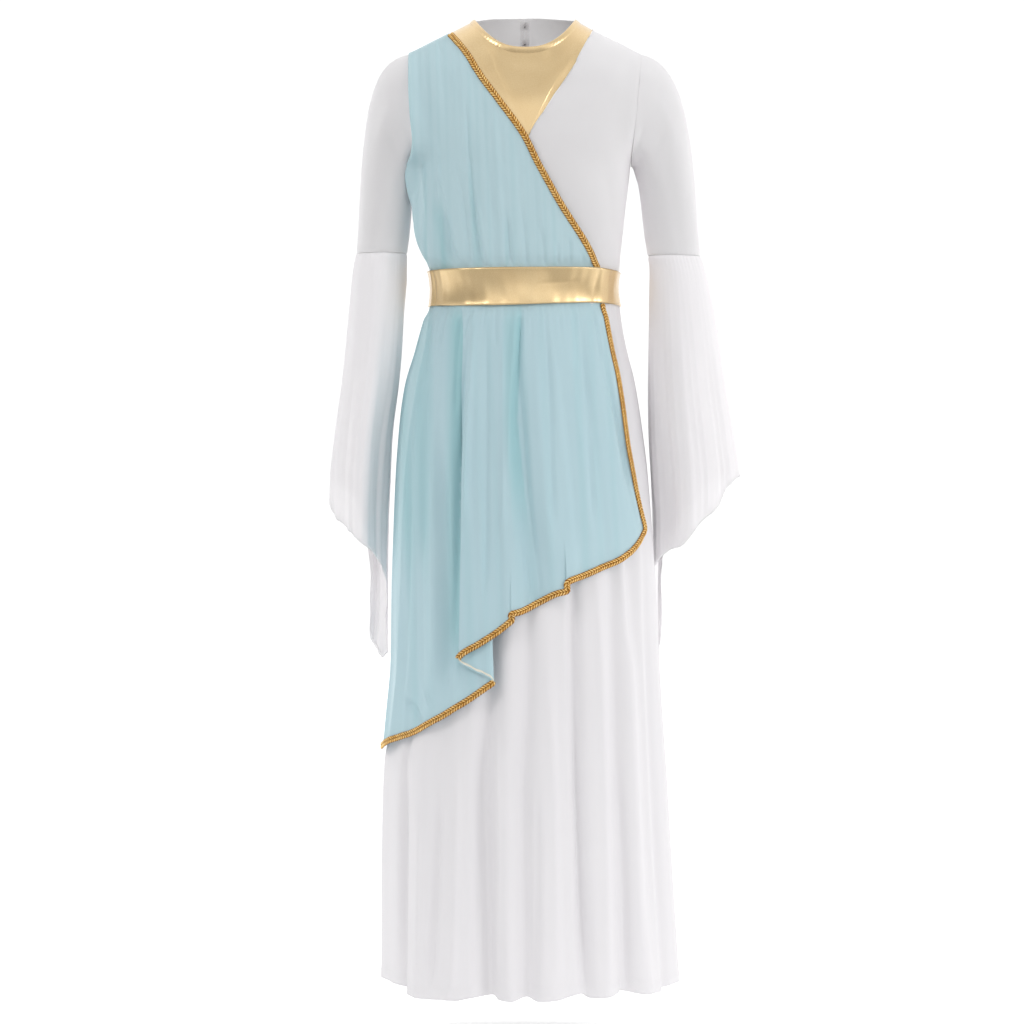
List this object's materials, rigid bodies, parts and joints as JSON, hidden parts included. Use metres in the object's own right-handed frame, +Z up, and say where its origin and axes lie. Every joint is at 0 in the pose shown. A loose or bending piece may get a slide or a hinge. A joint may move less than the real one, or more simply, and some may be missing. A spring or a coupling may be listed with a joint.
{
  "type": "greek princess costume",
  "caption": "Long hollow costume dress with a round neck, bell sleeves, crossed overlay on the bodice, broad waistband, full skirt and slanting overskirt, held open as if worn.",
  "frame": {"origin": "between the shoulders, in the middle of the neck opening at the height of the two neck points, where the wearer's shoulders carry the dress", "axes": "+Z up along the dress from hem to neck, -Y out of the front, +X to the wearer's left, which is the right in a front view"},
  "size_m": [0.4926, 0.3222, 1.1644],
  "materials": {
    "white_jersey": "matt stretch jersey",
    "white_skirt": "soft matt plain weave",
    "white_chiffon": "sheer matt chiffon",
    "aqua_chiffon": "sheer crinkled chiffon",
    "gold_foil": "metallic foil jersey",
    "gold_braid": "plaited metallic gimp",
    "button": "gloss"
  },
  "bodies": {
    "root": {"front_bodice": "white_jersey", "back_bodice_left": "white_jersey", "back_bodice_right": "white_jersey", "back_placket": "white_jersey", "button_upper": "button", "button_lower": "button", "gold_yoke": "gold_foil", "neck_binding": "gold_foil", "bodice_overlay": "aqua_chiffon", "bodice_braid": "gold_braid", "gold_waistband": "gold_foil", "skirt_front": "white_skirt", "skirt_back": "white_skirt", "aqua_overskirt": "aqua_chiffon", "overskirt_braid_upper": "gold_braid", "overskirt_braid_lower": "gold_braid", "sleeve_upper_left": "white_jersey", "sleeve_upper_right": "white_jersey", "sleeve_bell_left": "white_chiffon", "sleeve_bell_right": "white_chiffon"}
  },
  "joints": []
}
